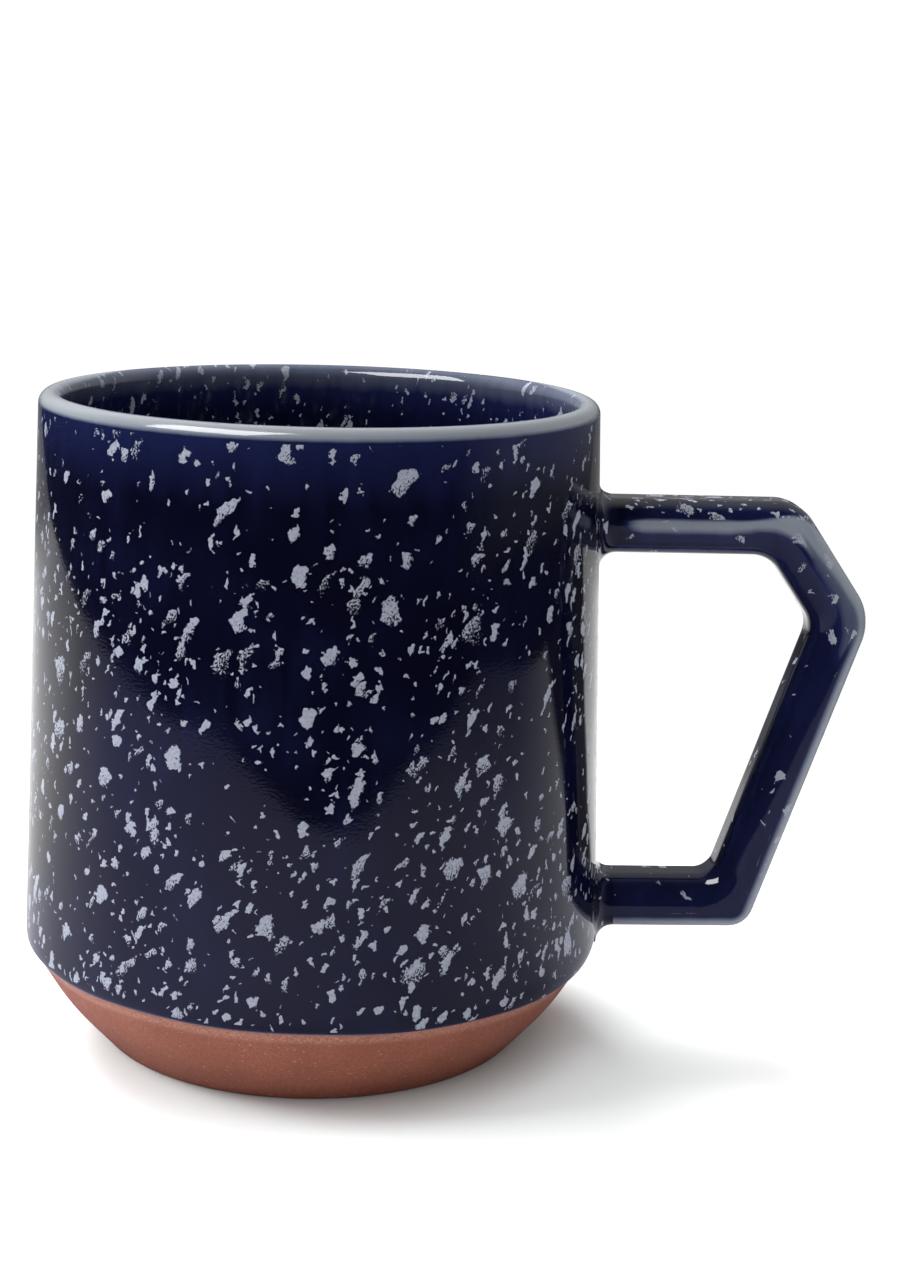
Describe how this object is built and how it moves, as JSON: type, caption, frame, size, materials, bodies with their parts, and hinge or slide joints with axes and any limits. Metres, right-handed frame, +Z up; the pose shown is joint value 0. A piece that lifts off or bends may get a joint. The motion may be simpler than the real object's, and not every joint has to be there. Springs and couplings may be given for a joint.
{
  "type": "mug",
  "caption": "Glazed earthenware mug: slightly tapered round cup on a bare bevelled foot, with an angular cast handle, flecked dark blue glaze and a pale lip.",
  "frame": {"origin": "on the cup's axis, at the flat foot that the mug stands on", "axes": "+Z up along the cup's axis, +X from the axis towards the handle, +Y across the handle's plane"},
  "size_m": [0.1233, 0.0852, 0.0945],
  "materials": {
    "bare_clay": "matt unglazed terracotta, fine grain with tiny pale specks",
    "handle_clay": "matt unglazed terracotta, hidden under the glaze",
    "joint_glaze": "glossy dark navy glaze over smoothed slip",
    "outer_glaze": "glossy dark navy glaze with torn pale grey-blue flecks and streaks",
    "inner_glaze": "glossy navy glaze with a few pale flecks",
    "rim_glaze": "glossy pale grey-blue, where the glaze breaks thin over the lip",
    "handle_glaze": "glossy dark navy glaze, lighter slate blue at the edges, with few flecks"
  },
  "bodies": {
    "root": {"clay_cup": "bare_clay", "clay_handle": "handle_clay", "upper_slip_joint": "joint_glaze", "lower_slip_joint": "joint_glaze", "outer_glaze": "outer_glaze", "inner_glaze": "inner_glaze", "rim_glaze": "rim_glaze", "handle_glaze": "handle_glaze"}
  },
  "joints": []
}
